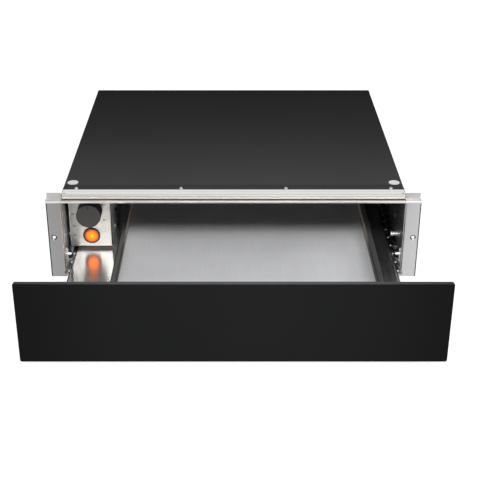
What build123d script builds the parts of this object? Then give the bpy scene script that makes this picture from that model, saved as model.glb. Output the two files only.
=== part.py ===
"""Built-in warming drawer with a push-to-open glass front, shown part open.

Frame: X across the front (0 = centre line), Y into the cabinet (0 = front plane of the
mounting flange), Z up (0 = underside of the base pan).  All lengths are millimetres.
"""
from build123d import *
import os

# ---------------------------------------------------------------- driving dimensions
# Case
SHEET = 0.8                 # steel sheet of the case
CASE_W = 542.6              # over the top cover's side flanges
CASE_H = 142.0              # top of the cover
CASE_BACK = 515.0           # rear face
COVER_FRONT = 25.5          # front edge of the top cover
COVER_FLANGE = 11.5         # how far the cover's side flanges come down
COVER_BEND = 1.6            # outer bend radius of the cover
STEP_DEPTH = 14.5           # lowered strip along the cover's front
STEP_DROP = 0.8
BEAD_DEPTH = 1.0            # stiffening beads in the side panels
BEAD_SHORT = 130.0          # beads shorter than the case
BEAD_SHIFT = 20.0           # beads behind the middle of the case
RIB_W = 14.0                # ribs across the base pan
RIB_FRONT = 40.0            # first rib behind the latch
RIB_BACK = 165.0            # last rib in front of the rear panel
PAN_VENT_REACH = 80.0       # outer slots of the base pan, off the centre line
PAN_VENTS = 9
# Front frame
EAR_REACH = 24.0            # mounting ears outside the case
EAR_T = 1.5
EAR_RETURN = 14.0           # depth of the ear's outer edge
EAR_BEND = 2.0
BAR_DROP = 8.2              # bar that joins the ears, below the top of the cover
BAR_D = 38.0
BAR_LIP = 2.8
BAR_PROUD = 1.0             # top bar and base pan stand this far in front of the ears
PAN_LIP = 6.0               # upturned front edge of the base pan
WING_Y = 5.5                # upright tabs at the bar's ends
WING_RISE = 3.6             # above the top of the cover
WING_INSET = 1.9
FIX_INSET = 9.5             # cabinet screw holes, in from the ear's edge
FIX_Z = 70.5
FIX_HOLE_R = 2.6
FIX_SINK_R = 4.6
FIX_SINK_DEPTH = 1.0
# Trim rail above the opening
RAIL_Y = 5.0
RAIL_GAP = 0.4
RAIL_RISE = 0.7             # above the top of the cover
RAIL_WALL = 1.2
RAIL_R = 4.1                # bull nose
RAIL_INSET = 1.8            # rail's ends, in from the cover's sides
RAIL_HOLE_INSET = 3.2
RAIL_HOLE_Y = 11.0
RAIL_HOLE_R = 1.5
RAIL_GROOVE_Y = 18.0
RAIL_GROOVE = 0.5
# Glass front
FRONT_OVER = 2.2            # front beyond the ears, each side
FRONT_Z = 8.7
FRONT_DROP = 8.8            # top of the front, below the top of the cover
GLASS_T = 4.0
BACKING_T = 3.0
BACKING_INSET = 0.3
BACKING_RIM = 6.0
FRONT_R = 3.0
FRONT_GAP = 3.0             # front to flange, drawer shut
# Travel
OPEN_NOW = 253.0            # how far the drawer stands open as modelled
TRAVEL = 340.0              # from shut to the stop
# Slides
SLIDE_L = 440.0
SLIDE_H = 35.0
SLIDE_T = 12.7
SLIDE_Z = 2.0
SLIDE_Y = 14.0
SLIDE_WALL = 1.2
OUTER_DEPTH = 9.3           # fixed member, from the case wall to its lips
OUTER_LIP = 3.6
SLIDE_BEND = 1.6
BALL_R = 2.0
BALL_PLAY = 0.3
BALLS_IN_ROW = 3
CAGE_L = 70.0
CAGE_END = 3.0              # cage to the moving member's end, drawer fully open
CAGE_T = 0.8
TRACK_MARGIN = 5.0          # ball track in front of the cage, drawer shut
PIP_PITCH = 29.5
PIP_END = 7.0
PIP_L = 2.8
PIP_W = 1.4
PIP_H = 0.9
PIN_Z = 49.0                # guide pins above the slides
PIN_Y = 57.0
PIN_R = 4.1
PIN_OUT = 10.4
PIN_FOOT = 3.4
PIN_NECK_R = 2.2
PINS = 2
BRACE_Y = 9.5               # upright stop strip in front of each slide
BRACE_T = 2.2
BRACE_W = 3.0
STUD_Z = 36.0
STUD_R = 2.6
STUD_OUT = 8.0
BUFFER_W = 7.0
BUFFER_H = 6.0
# Drawer
FLOOR_TOP = 32.0
DRAWER_L = 468.0            # behind the backing
FLOOR_T = 1.0
FLOOR_BEND = 2.4
SKIRT_H = 23.0
PLATE_T = 2.0
BAY_LEFT_INSET = 78.0       # warming compartment, in from the drawer's sides
BAY_RIGHT_INSET = 37.0
WALL_T = 1.0
WALL_RISE = 44.0            # compartment walls above the drawer floor
BEAD_Z = 44.0
BEAD_R = 4.0
BEAD_RISE = 1.2
BAY_L = 462.0               # compartment, from the backing to its rear wall
TIE_DROP = 12.2             # front wall of the drawer, below the top of the front
# Control box
FASCIA_INSET = 3.7          # fascia, in from the case wall
FASCIA_W = 67.8
FASCIA_Y = 35.0
FASCIA_Z = 38.0
FASCIA_T = 1.0
FASCIA_BEND = 1.2
FASCIA_FOLD = 9.0
BOX_INSET = 10.0            # housing, in from the fascia's left edge
BOX_T = 0.8
PARTITION_Y = 148.0         # the housing is narrower behind this
HOUSING_STEP = 7.8
CONTROL_INSET = 35.0        # knob and button, in from the fascia's left edge
KNOB_R = 19.6
KNOB_OUT = 24.0
KNOB_PLAY = 0.6
SHAFT_R = 3.0
BEZEL_R = 13.9
BEZEL_OUT = 2.2
BEZEL_FOOT = 5.1            # bezel above the fascia's lower edge
BUTTON_R = 11.3
BUTTON_OUT = 4.0
BUTTON_TRAVEL = 2.5
# Fan heater
FAN_SIZE = 80.0
FAN_D = 25.0
FAN_Y = 262.0
FAN_INSET = 8.5             # motor side of the fan, in from the housing's left wall
FAN_RIM = 2.0               # frame at its thinnest, around the bore
FAN_PLAY = 1.5              # blades to bore
HUB_R = 16.0
BLADES = 7
FAN_REAR = 30.0             # room between the fan and the housing's rear wall
OUTLET_MARGIN = 5.0         # outlet slots, in from the fan's edges
INLET_MARGIN = 10.0
SLOT_W = 5.0
ELEMENT_R = 3.2
ELEMENT_SPACE = 9.5         # heater in front of the fan
# Push latch under the drawer
LATCH_Z = 17.0
LATCH_W = 40.0
LATCH_L = 62.0
LATCH_Y = 8.0
LATCH_RISE = 9.0
PLUNGER_R = 4.0
PLUNGER_TIP_R = 6.0
PLUNGER_TRAVEL = 3.0
STRIKER_T = 1.0
# Rear panel and supply
VENT_Z = 90.0
VENTS = 12
GLAND_INSET = 37.5
GLAND_Z = 24.0
GLAND_R = 10.0
GLAND_BORE_R = 4.0
GLAND_OUT = 12.0
TERMINALS = 3
TERMINAL_PITCH = 20.0
TERMINAL_INSET = 64.5       # block's left end, in from the case wall
# Screws
SHANK_R = 1.7
COVER_SCREW_INSET = 21.0    # screws along the cover's front edge
FRONT_SCREW_INSET = 22.0
FRONT_SCREW_RISE = 26.0     # lower pair, above the drawer floor
FRONT_SCREW_DROP = 21.0     # upper pair, below the front wall's top
BRACKET_L = 44.0            # corner brackets along the drawer's sides
BRACKET_W = 24.0            # and along its front wall
RUN_GAP = 0.3               # clearance between pieces that move past each other

# ---------------------------------------------------------------- derived places
OUT_X = CASE_W / 2                          # outside of the cover's flanges
SIDE_X = OUT_X - SHEET                      # outside of the side panels
IN_X = SIDE_X - SHEET                       # inside of the side panels
COVER_UNDER = CASE_H - SHEET
FLANGE_BOTTOM = CASE_H - COVER_FLANGE
STEP_END = COVER_FRONT + STEP_DEPTH
BAR_TOP = CASE_H - BAR_DROP
BAR_UNDER = BAR_TOP - SHEET
EAR_OUT = OUT_X + EAR_REACH
FIX_X = EAR_OUT - FIX_INSET
RAIL_BOTTOM = BAR_TOP + RAIL_GAP
RAIL_TOP = CASE_H + RAIL_RISE
RAIL_X = OUT_X - RAIL_INSET
FRONT_X = EAR_OUT + FRONT_OVER
FRONT_TOP = CASE_H - FRONT_DROP
SHUT_BACK = -FRONT_GAP                      # back of the front when shut
BACK_Y = SHUT_BACK - OPEN_NOW               # back of the front as modelled
GLASS_BACK = BACK_Y - BACKING_T
FRONT_Y = GLASS_BACK - GLASS_T
DRAWER_X = IN_X - SLIDE_T                   # outside of the drawer's sides
DRAWER_END = BACK_Y + DRAWER_L
SLIDE_END = SLIDE_Y + SLIDE_L
SLIDE_TOP = SLIDE_Z + SLIDE_H
SLIDE_MID = SLIDE_Z + SLIDE_H / 2
OUTER_MOUTH = IN_X - OUTER_DEPTH
INNER_H = SLIDE_H - 2 * (SLIDE_WALL + 2 * BALL_R + BALL_PLAY)
INNER_TOP = SLIDE_MID + INNER_H / 2
INNER_Y = SLIDE_Y - OPEN_NOW                # front of the inner members
BALL_X = OUTER_MOUTH + SLIDE_WALL + BALL_R + BALL_PLAY / 2
BALL_Z = SLIDE_H / 2 - SLIDE_WALL - BALL_PLAY / 2 - BALL_R
INNER_REACH = BALL_X + BALL_R - BALL_PLAY
BALL_PITCH = CAGE_L / BALLS_IN_ROW
CAGE_MID = SLIDE_END - TRAVEL - CAGE_END - CAGE_L / 2 + (TRAVEL - OPEN_NOW) / 2
TRACK_Y = CAGE_MID - OPEN_NOW / 2 - CAGE_L / 2 - TRACK_MARGIN
FLOOR_UNDER = FLOOR_TOP - FLOOR_T
PLATE_TOP = FLOOR_TOP + PLATE_T
BAY_LEFT = BAY_LEFT_INSET - DRAWER_X        # inner faces of the warming compartment
BAY_RIGHT = DRAWER_X - BAY_RIGHT_INSET
BAY_BACK = BACK_Y + BAY_L
WALL_TOP = FLOOR_TOP + WALL_RISE
FASCIA_LEFT = FASCIA_INSET - IN_X
FASCIA_RIGHT = FASCIA_LEFT + FASCIA_W
BOX_LEFT = FASCIA_LEFT + BOX_INSET
HOUSING_RIGHT = FASCIA_RIGHT - HOUSING_STEP
CONTROL_X = FASCIA_LEFT + CONTROL_INSET
BUTTON_Z = FASCIA_Z + BEZEL_FOOT + BEZEL_R
SWITCH_R = BUTTON_R + 1.2                   # switch barrel behind the bezel
CONTROL_GAP = (BAR_UNDER - BUTTON_Z - BEZEL_R - 2 * KNOB_R) / 2
KNOB_Z = BAR_UNDER - CONTROL_GAP - KNOB_R
FAN_X = BOX_LEFT + BOX_T + FAN_INSET        # motor side of the fan
FAN_Z = FASCIA_Z + BOX_T + FAN_SIZE / 2
FAN_BORE_R = FAN_SIZE / 2 - FAN_RIM
FAN_TIP_R = FAN_BORE_R - FAN_PLAY
BOX_BACK = FAN_Y + FAN_SIZE / 2 + FAN_REAR
GLAND_X = GLAND_INSET - IN_X


# ---------------------------------------------------------------- small helpers
def block(x0, x1, y0, y1, z0, z1):
    """Box between two corners."""
    return Pos((x0 + x1) / 2, (y0 + y1) / 2, (z0 + z1) / 2) * Box(abs(x1 - x0), abs(y1 - y0), abs(z1 - z0))


def rod(radius, start, end):
    """Cylinder along X, Y or Z from one point to another."""
    a, b = Vector(*start), Vector(*end)
    axis = (b - a).normalized()
    return extrude(Plane(origin=a, z_dir=axis) * Circle(radius), (b - a).length)


def cone(r0, r1, start, end):
    """Truncated cone between two points."""
    a, b = Vector(*start), Vector(*end)
    axis = (b - a).normalized()
    foot, head = Plane(origin=a, z_dir=axis), Plane(origin=b, z_dir=axis)
    return loft([foot * Circle(r0), head * Circle(r1)])


def other_side(shape):
    """The same piece on the left of the centre line."""
    return mirror(shape, about=Plane.YZ)


def section_xz(points, y0, y1):
    """Closed XZ outline run along Y."""
    face = make_face(Polyline(*[(x, y0, z) for x, z in points], close=True))
    return extrude(face, amount=y1 - y0, dir=(0, 1, 0))


def edges_along_y(shape, corners, tol=0.05):
    """The edges along Y that pass through the given XZ corners."""
    found = []
    for edge in shape.edges().filter_by(Axis.Y):
        mid = edge.center()
        if any(abs(mid.X - x) < tol and abs(mid.Z - z) < tol for x, z in corners):
            found.append(edge)
    return found


def pan_screw(x, y, z, direction, head_r=3.2, head_h=2.0, shank_r=SHANK_R, shank=5.0):
    """Domed-head screw whose head sits on the point, shank along direction."""
    d = Vector(*direction)
    seat = Vector(x, y, z)
    foot, top = Plane(origin=seat, z_dir=d), Plane(origin=seat - d * head_h, z_dir=d)
    head = loft([foot * Circle(head_r), top * Circle(head_r * 0.7)])
    return head + extrude(foot * Circle(shank_r), shank)


def spread(first, last, count):
    """Evenly spaced places from the first to the last."""
    return [first + (last - first) * i / (count - 1) for i in range(count)]


# ---------------------------------------------------------------- case
def base_pan():
    pan = block(-IN_X, IN_X, -BAR_PROUD, CASE_BACK - SHEET, 0, SHEET)
    pan += block(-IN_X, IN_X, -BAR_PROUD, SHEET - BAR_PROUD, 0, PAN_LIP)
    rib = Plane.XY.offset(SHEET) * Rectangle(IN_X, RIB_W)
    for y in spread(LATCH_Y + LATCH_L + RIB_FRONT, CASE_BACK - RIB_BACK, 3):
        pan += extrude(Pos(0, y, 0) * rib, 1.2, taper=20)
    for x in spread(-PAN_VENT_REACH, PAN_VENT_REACH, PAN_VENTS):
        pan -= block(x - 2, x + 2, CASE_BACK - 43, CASE_BACK - 17, -1, SHEET + 1)
    return pan


def side_panel():
    side = block(IN_X, SIDE_X, EAR_T, CASE_BACK, 0, COVER_UNDER - COVER_BEND + SHEET)
    side -= block(IN_X - 1, SIDE_X + 1, 0, BAR_D, BAR_UNDER, CASE_H)
    for z in (PIN_Z + 20, PIN_Z + 56):
        bead = Plane.YZ.offset(IN_X) * Pos(CASE_BACK / 2 + BEAD_SHIFT, z) * Rectangle(CASE_BACK - BEAD_SHORT, 8)
        side += extrude(bead, -BEAD_DEPTH, taper=30)
    return cover_screw_holes(side)


def rear_panel():
    back = block(-IN_X, IN_X, CASE_BACK - SHEET, CASE_BACK, SHEET, COVER_UNDER)
    for i in range(VENTS):
        x = 30 + 16 * i
        back -= block(x - 2, x + 2, CASE_BACK - SHEET - 1, CASE_BACK + 1, VENT_Z - 17, VENT_Z + 17)
    back -= rod(GLAND_R + 0.2, (GLAND_X, CASE_BACK - 3, GLAND_Z), (GLAND_X, CASE_BACK + 1, GLAND_Z))
    return back


def top_cover():
    cover = block(-OUT_X, OUT_X, COVER_FRONT, CASE_BACK, FLANGE_BOTTOM, CASE_H)
    cover = fillet(edges_along_y(cover, [(-OUT_X, CASE_H), (OUT_X, CASE_H)]), COVER_BEND)
    inside = block(-SIDE_X, SIDE_X, COVER_FRONT + SHEET, CASE_BACK + 1, 0, COVER_UNDER)
    inside = fillet(edges_along_y(inside, [(-SIDE_X, COVER_UNDER), (SIDE_X, COVER_UNDER)]), COVER_BEND - SHEET)
    cover -= inside
    cover -= block(-SIDE_X, SIDE_X, COVER_FRONT - 1, COVER_FRONT + SHEET, 0, BAR_TOP)
    cover += block(-SIDE_X + 2, SIDE_X - 2, COVER_FRONT, STEP_END, COVER_UNDER - STEP_DROP, COVER_UNDER)
    cover -= block(-OUT_X - 1, OUT_X + 1, COVER_FRONT - 1, STEP_END - SHEET, CASE_H - STEP_DROP, CASE_H + 1)
    return cover_screw_holes(cover)


def cover_screw_seats():
    """Seat point and driving direction of each screw in the cover."""
    edge = OUT_X - COVER_SCREW_INSET
    seats = [((x, COVER_FRONT + STEP_DEPTH / 2, CASE_H - STEP_DROP), (0, 0, -1)) for x in spread(-edge, edge, 4)]
    return seats + [((s * OUT_X, STEP_END + 1.5, CASE_H - COVER_FLANGE * 0.54), (-s, 0, 0)) for s in (-1, 1)]


def cover_screws():
    return [pan_screw(*seat, direction, shank=4.5) for seat, direction in cover_screw_seats()]


def screw_holes(shape, seats):
    """Holes for the screws' shanks in whatever they pass through."""
    cuts = []
    for seat, direction in seats:
        start = Vector(*seat) - Vector(*direction)
        cuts.append(extrude(Plane(origin=start, z_dir=Vector(*direction)) * Circle(SHANK_R), 8))
    return shape - cuts


def cover_screw_holes(shape):
    return screw_holes(shape, cover_screw_seats())


# ---------------------------------------------------------------- front frame
def right_post():
    """Mounting ear: face, outer return and a return flange along the side panel."""
    post = block(SIDE_X, EAR_OUT, 0, EAR_RETURN, 0, BAR_UNDER)
    post = fillet([e for e in post.edges().filter_by(Axis.Z) if e.center().Y < 1], EAR_BEND)
    hollow = block(SIDE_X + EAR_T, EAR_OUT - EAR_T, EAR_T, EAR_RETURN + 1, -1, BAR_UNDER + 1)
    post -= fillet([e for e in hollow.edges().filter_by(Axis.Z) if e.center().Y < EAR_T + 1], EAR_BEND - EAR_T)
    post += block(SIDE_X, SIDE_X + EAR_T, EAR_RETURN, COVER_FRONT, 0, BAR_UNDER)
    post += block(SIDE_X, SIDE_X + EAR_T, COVER_FRONT, BAR_D, 0, FLANGE_BOTTOM)
    post -= rod(FIX_HOLE_R, (FIX_X, -1, FIX_Z), (FIX_X, EAR_T + 1, FIX_Z))
    post -= cone(FIX_SINK_R, FIX_HOLE_R, (FIX_X, 0, FIX_Z), (FIX_X, FIX_SINK_DEPTH, FIX_Z))
    return post


def top_bar():
    """Angle across the opening, with an upright tab at each end."""
    bar = block(-EAR_OUT, EAR_OUT, -BAR_PROUD, EAR_RETURN, BAR_UNDER, BAR_TOP)
    bar += block(-SIDE_X, SIDE_X, EAR_RETURN, BAR_D, BAR_UNDER, BAR_TOP)
    bar += block(-EAR_OUT, EAR_OUT, -BAR_PROUD, 0, BAR_TOP - BAR_LIP, BAR_TOP)
    for s in (-1, 1):
        bar += block(s * SIDE_X, s * (EAR_OUT - WING_INSET), WING_Y, WING_Y + EAR_T, BAR_TOP, CASE_H + WING_RISE)
    top = [e for e in bar.edges().filter_by(Axis.X) if e.center().Y < -BAR_PROUD + 0.1 and e.center().Z > BAR_TOP - 0.1]
    return fillet(top, SHEET * 0.9)


def top_rail():
    """Hollow bull-nosed trim above the opening."""
    rail = block(-RAIL_X, RAIL_X, RAIL_Y, COVER_FRONT, RAIL_BOTTOM, RAIL_TOP)
    rail = fillet([e for e in rail.edges().filter_by(Axis.X) if e.center().Y < RAIL_Y + 0.1], RAIL_R)
    bore = block(-RAIL_X + RAIL_WALL, RAIL_X - RAIL_WALL, RAIL_Y + RAIL_WALL, COVER_FRONT - RAIL_WALL,
                 RAIL_BOTTOM + RAIL_WALL, RAIL_TOP - RAIL_WALL)
    rail -= fillet([e for e in bore.edges().filter_by(Axis.X) if e.center().Y < RAIL_Y + 2], RAIL_R - RAIL_WALL)
    rail -= block(-RAIL_X, RAIL_X, RAIL_GROOVE_Y, RAIL_GROOVE_Y + RAIL_GROOVE, RAIL_TOP - RAIL_GROOVE, RAIL_TOP)
    for s in (-1, 1):
        x = s * (RAIL_X - RAIL_HOLE_INSET)
        y = RAIL_HOLE_Y
        rail += block(x - 5, x + 3, y, y + 9, BAR_TOP, RAIL_BOTTOM)
        rail -= rod(RAIL_HOLE_R, (x, y, RAIL_BOTTOM + RAIL_WALL + 1), (x, y, RAIL_TOP + 1))
    return rail


# ---------------------------------------------------------------- slides (right-hand side)
def outer_member():
    """Fixed C channel on the case wall, lips turned in around the ball rows."""
    x, t, lip, mouth = IN_X, SLIDE_WALL, OUTER_LIP, OUTER_MOUTH
    low, high = SLIDE_Z, SLIDE_TOP
    points = [(x, low), (mouth, low), (mouth, low + lip), (mouth + t, low + lip), (mouth + t, low + t),
              (x - t, low + t), (x - t, high - t), (mouth + t, high - t), (mouth + t, high - lip),
              (mouth, high - lip), (mouth, high), (x, high)]
    member = section_xz(points, SLIDE_Y, SLIDE_END)
    member = fillet(edges_along_y(member, [(x, low), (x, high), (mouth, low), (mouth, high)]), SLIDE_BEND)
    for y in (SLIDE_Y + 40, SLIDE_END - 40):
        member -= rod(3.0, (IN_X - 3, y, SLIDE_MID), (IN_X + 1, y, SLIDE_MID))
    return member


def inner_member():
    """Moving member on the drawer side: a flat web, with flanges outward as the ball tracks.

    The flanges start where the cage stands when the drawer is shut.
    """
    x, t = DRAWER_X, SLIDE_WALL
    low, high = SLIDE_MID - INNER_H / 2, INNER_TOP
    points = [(x, low), (INNER_REACH, low), (INNER_REACH, low + t), (x + t, low + t), (x + t, high - t),
              (INNER_REACH, high - t), (INNER_REACH, high), (x, high)]
    member = section_xz(points, TRACK_Y, INNER_Y + SLIDE_L)
    return member + block(x, x + t, INNER_Y, TRACK_Y, low, high) + pips()


def pips():
    """Row of pressed pips on the moving member's top flange, beside the ball track."""
    x = OUTER_MOUTH - PIP_W / 2
    first, last = TRACK_Y + PIP_END, INNER_Y + SLIDE_L - PIP_END
    base = Plane.XY.offset(INNER_TOP) * Pos(x, first) * Rectangle(PIP_W, PIP_L)
    pip = extrude(base, PIP_H, taper=15)
    return [Pos(0, PIP_PITCH * i, 0) * pip for i in range(int((last - first) // PIP_PITCH) + 1)]


def ball_row_places():
    start = CAGE_MID - BALL_PITCH * (BALLS_IN_ROW - 1) / 2
    return [(start + BALL_PITCH * i, SLIDE_MID + s * BALL_Z) for i in range(BALLS_IN_ROW) for s in (-1, 1)]


def ball_cage():
    """U-shaped retainer with one window per ball, and the balls in it."""
    arm, half, window = CAGE_T / 2, CAGE_L / 2, BALL_R + BALL_PLAY / 2
    foot = IN_X - SLIDE_WALL - CAGE_T
    web = block(foot - CAGE_T, foot, CAGE_MID - half, CAGE_MID + half, SLIDE_MID - BALL_Z - arm, SLIDE_MID + BALL_Z + arm)
    for s in (-1, 1):
        z = SLIDE_MID + s * BALL_Z
        web += block(OUTER_MOUTH + SLIDE_WALL + RUN_GAP / 2, foot, CAGE_MID - half, CAGE_MID + half, z - arm, z + arm)
    for y, z in ball_row_places():
        web -= block(BALL_X - window, BALL_X + window, y - window, y + window, z - 2 * arm, z + 2 * arm)
    balls = [Pos(BALL_X, y, z) * Sphere(BALL_R) for y, z in ball_row_places()]
    return [web] + balls


def slide_stop():
    """Upright strip on the wall in front of the fixed member, with a stud above the moving one."""
    stop = block(IN_X - BRACE_T, IN_X, BRACE_Y, BRACE_Y + BRACE_W, SLIDE_Z + BUFFER_H + 8, PIN_Z - 3)
    y = BRACE_Y + BRACE_W / 2
    stop += rod(STUD_R, (IN_X - STUD_OUT, y, STUD_Z), (IN_X, y, STUD_Z))
    return stop


def guide_pins():
    """Shouldered pins that stiffen the wall above each slide."""
    pins = []
    for y in spread(PIN_Y, SLIDE_END - 39, PINS):
        foot = rod(PIN_R, (IN_X - PIN_FOOT, y, PIN_Z), (IN_X, y, PIN_Z))
        neck = rod(PIN_NECK_R, (IN_X - PIN_OUT / 2, y, PIN_Z), (IN_X - PIN_FOOT, y, PIN_Z))
        pins.append(foot + neck + rod(PIN_R, (IN_X - PIN_OUT, y, PIN_Z), (IN_X - PIN_OUT / 2, y, PIN_Z)))
    return pins


# ---------------------------------------------------------------- drawer
def front_glass():
    glass = block(-FRONT_X, FRONT_X, FRONT_Y, GLASS_BACK, FRONT_Z, FRONT_TOP)
    glass = fillet(glass.edges().filter_by(Axis.Y), FRONT_R)
    rim = glass.faces().sort_by(Axis.Y)[0].edges()
    return chamfer(rim, 0.6)


def front_backing():
    w, low, high = FRONT_X - BACKING_INSET, FRONT_Z + BACKING_INSET, FRONT_TOP - BACKING_INSET
    pan = block(-w, w, GLASS_BACK, BACK_Y, low, high)
    pan = fillet(pan.edges().filter_by(Axis.Y), FRONT_R - BACKING_INSET)
    rim = BACKING_RIM
    pan -= block(-w + rim, w - rim, GLASS_BACK - 1, BACK_Y - SHEET, low + rim, high - rim)
    return screw_holes(pan, [(seat, (0, -1, 0)) for seat, _ in front_screw_seats()])


def drawer_front_wall():
    x, top = DRAWER_X - FLOOR_T, FRONT_TOP - TIE_DROP
    wall = block(-x, x, BACK_Y, BACK_Y + WALL_T, FLOOR_UNDER - SKIRT_H + 2, top)
    wall += block(-x + 4, x - 4, BACK_Y, BACK_Y + 9 * WALL_T, top - WALL_T, top)
    return screw_holes(wall, front_screw_seats())


def drawer_floor():
    x = DRAWER_X
    floor = block(-x, x, BACK_Y + WALL_T, DRAWER_END, FLOOR_UNDER - SKIRT_H, FLOOR_TOP)
    floor = fillet(edges_along_y(floor, [(-x, FLOOR_TOP), (x, FLOOR_TOP)]), FLOOR_BEND)
    inside = block(-x + FLOOR_T, x - FLOOR_T, BACK_Y, DRAWER_END + 1, 0, FLOOR_UNDER)
    corners = [(-x + FLOOR_T, FLOOR_UNDER), (x - FLOOR_T, FLOOR_UNDER)]
    floor -= fillet(edges_along_y(inside, corners), FLOOR_BEND - FLOOR_T)
    rear = block(-x + 3, x - 3, DRAWER_END - FLOOR_T, DRAWER_END, FLOOR_UNDER - SKIRT_H / 2, FLOOR_UNDER)
    floor += rear
    return floor


def warming_plate():
    gap = RUN_GAP
    return block(BAY_LEFT + gap, BAY_RIGHT - gap, BACK_Y + WALL_T + gap, BAY_BACK - gap, FLOOR_TOP, PLATE_TOP)


def bay_wall(length):
    """Low wall section in XZ at X = 0, with a pressed bead on the inner face."""
    wall = block(0, WALL_T, 0, length, FLOOR_TOP, WALL_TOP)
    bead = [(0, BEAD_Z - BEAD_R), (-BEAD_RISE, BEAD_Z - BEAD_R / 2), (-BEAD_RISE, BEAD_Z + BEAD_R / 2), (0, BEAD_Z + BEAD_R)]
    return wall + section_xz(bead, 0, length)


def right_bay_wall():
    start = BACK_Y + WALL_T
    return Pos(BAY_RIGHT, start, 0) * bay_wall(BAY_BACK - start)


def left_bay_wall():
    start = BACK_Y + WALL_T
    return Pos(BAY_LEFT, start, 0) * other_side(bay_wall(BAY_BACK - start))


def rear_bay_wall():
    return block(BAY_LEFT - WALL_T, BAY_RIGHT + WALL_T, BAY_BACK, BAY_BACK + WALL_T, FLOOR_TOP, WALL_TOP)


def front_screw_seats():
    edge = DRAWER_X - FRONT_SCREW_INSET
    rows = (FLOOR_TOP + FRONT_SCREW_RISE, FRONT_TOP - TIE_DROP - FRONT_SCREW_DROP)
    return [((x, BACK_Y + WALL_T, z), (0, -1, 0)) for x in (-edge, edge) for z in rows]


def front_screws():
    return [pan_screw(*seat, direction, shank=2.0) for seat, direction in front_screw_seats()]


def corner_brackets():
    """Angles that tie the drawer's floor skirts to the front."""
    made = []
    x, y = DRAWER_X - FLOOR_T, BACK_Y + WALL_T
    low, high = FLOOR_UNDER - SKIRT_H + 2, FLOOR_UNDER - FLOOR_BEND
    for s in (-1, 1):
        angle = block(s * x, s * (x - EAR_T), y, y + BRACKET_L, low, high)
        made.append(angle + block(s * x, s * (x - BRACKET_W), y, y + EAR_T, low, high))
    return made


def latch_striker():
    rise = LATCH_RISE
    strike = block(-16, 16, BACK_Y + WALL_T, BACK_Y + WALL_T + STRIKER_T, LATCH_Z - rise, LATCH_Z + rise)
    return fillet(strike.edges().filter_by(Axis.Y), 3)


# ---------------------------------------------------------------- push latch
def latch_body():
    y0, y1 = LATCH_Y, LATCH_Y + LATCH_L
    body = block(-LATCH_W / 2, LATCH_W / 2, y0, y1, SHEET, LATCH_Z + LATCH_RISE)
    body = fillet([e for e in body.edges().filter_by(Axis.Y) if e.center().Z > LATCH_Z], 6)
    body -= rod(PLUNGER_R + RUN_GAP, (0, y0 - 1, LATCH_Z), (0, y1 - 6, LATCH_Z))
    for s in (-1, 1):
        ear = block(s * LATCH_W / 2, s * (LATCH_W / 2 + 12), y0 + 8, y0 + 26, SHEET, SHEET + 3)
        body += ear - block(s * (LATCH_W / 2 + 5), s * (LATCH_W / 2 + 13), y0 + 15, y0 + 19, 0, SHEET + 4)
    return body


def latch_plunger():
    """Rod with a soft tip that pushes the shut drawer out."""
    tip = BACK_Y + WALL_T + STRIKER_T + OPEN_NOW + RUN_GAP
    back = LATCH_Y + LATCH_L - 6 - PLUNGER_TRAVEL - 2
    plunger = rod(PLUNGER_R, (0, tip + 3, LATCH_Z), (0, back, LATCH_Z))
    head = rod(PLUNGER_TIP_R, (0, tip, LATCH_Z), (0, tip + 4, LATCH_Z))
    return plunger + chamfer(head.faces().sort_by(Axis.Y)[0].edges(), 1.2)


# ---------------------------------------------------------------- control box
def control_fascia():
    """Stainless fascia folded back on three sides."""
    y = FASCIA_Y
    front = block(FASCIA_LEFT, FASCIA_RIGHT, y, y + FASCIA_FOLD, FASCIA_Z, BAR_UNDER)
    front = fillet([e for e in front.edges().filter_by(Axis.Z) if e.center().Y < y + 0.1], FASCIA_BEND)
    front -= block(FASCIA_LEFT + FASCIA_T, FASCIA_RIGHT - FASCIA_T, y + FASCIA_T, y + FASCIA_FOLD + 1,
                   FASCIA_Z + FASCIA_T, CASE_H)
    front -= rod(SHAFT_R + RUN_GAP, (CONTROL_X, y - 1, KNOB_Z), (CONTROL_X, y + 3, KNOB_Z))
    front -= rod(SWITCH_R + RUN_GAP / 3, (CONTROL_X, y - 1, BUTTON_Z), (CONTROL_X, y + 3, BUTTON_Z))
    return front


def control_box():
    """Open-topped housing behind the fascia, narrower where it holds the fan heater."""
    y0, z0, t = FASCIA_Y + FASCIA_FOLD, FASCIA_Z, BOX_T
    box = block(BOX_LEFT, FASCIA_RIGHT, y0, PARTITION_Y + t, z0, COVER_UNDER)
    box += block(BOX_LEFT, HOUSING_RIGHT, PARTITION_Y, BOX_BACK, z0, COVER_UNDER)
    box -= block(BOX_LEFT + t, FASCIA_RIGHT - t, y0 - 1, PARTITION_Y, z0 + t, CASE_H)
    box -= block(BOX_LEFT + t, HOUSING_RIGHT - t, PARTITION_Y + t, BOX_BACK - t, z0 + t, CASE_H)
    half, outlet, inlet = SLOT_W / 2, FAN_SIZE / 2 - OUTLET_MARGIN, FAN_SIZE / 2 - INLET_MARGIN
    for y in spread(FAN_Y - outlet, FAN_Y + outlet, 8):
        box -= block(HOUSING_RIGHT - t - 1, HOUSING_RIGHT + 1, y - half, y + half, FAN_Z - outlet, FAN_Z + outlet)
    for x in spread(BOX_LEFT + 9, HOUSING_RIGHT - 9, 4):
        box -= block(x - half, x + half, BOX_BACK - t - 1, BOX_BACK + 1, FAN_Z - inlet, FAN_Z + inlet)
    return screw_holes(box, box_screw_seats())


def box_screw_seats():
    return [((FASCIA_RIGHT, FASCIA_Y + 45, FASCIA_Z + 15), (-1, 0, 0))]


def box_screws():
    return [pan_screw(*seat, direction, head_r=2.6, head_h=1.6, shank=3.0)
            for seat, direction in box_screw_seats()]


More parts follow.
